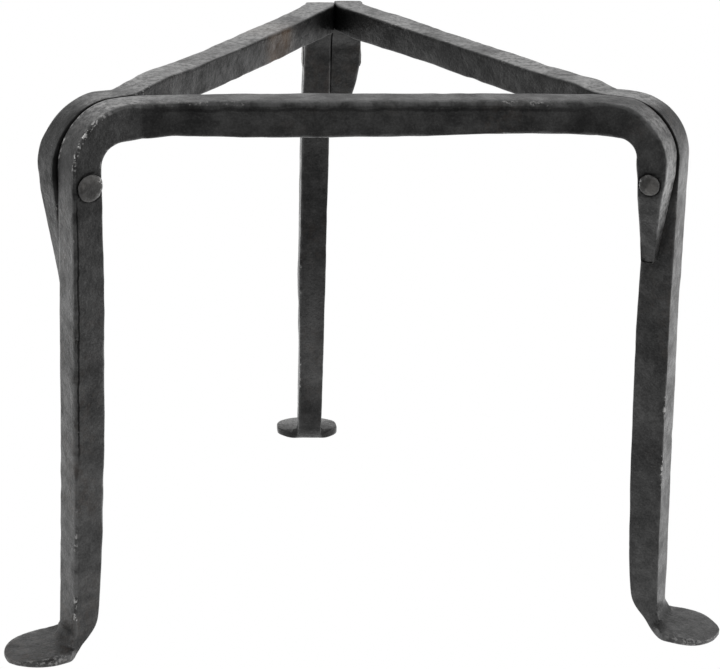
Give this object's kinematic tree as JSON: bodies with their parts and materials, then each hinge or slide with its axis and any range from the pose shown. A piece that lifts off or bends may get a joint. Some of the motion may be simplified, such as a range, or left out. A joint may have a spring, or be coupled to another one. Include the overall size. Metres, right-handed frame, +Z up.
{
  "type": "fire trivet",
  "caption": "Hand-forged fire trivet: a triangular iron pot stand on three outward-turned legs, riveted at the corners, to hold a pot or grill over coals.",
  "frame": {"origin": "on the floor, in the middle of the outline of the three feet", "axes": "+Z up; +X along the front rail, from the left corner to the right one; +Y towards the back leg; the front rail faces -Y"},
  "size_m": [0.286, 0.2584, 0.217],
  "materials": {
    "forged_steel": "matte black forge scale, lightly oiled, worn bright on the edges",
    "rivet_steel": "hammered dark steel heads, worn bright at the rim"
  },
  "bodies": {
    "root": {"front_bar": "forged_steel", "right_bar": "forged_steel", "left_bar": "forged_steel", "rivet_left": "rivet_steel", "rivet_right": "rivet_steel", "rivet_back": "rivet_steel"}
  },
  "joints": []
}
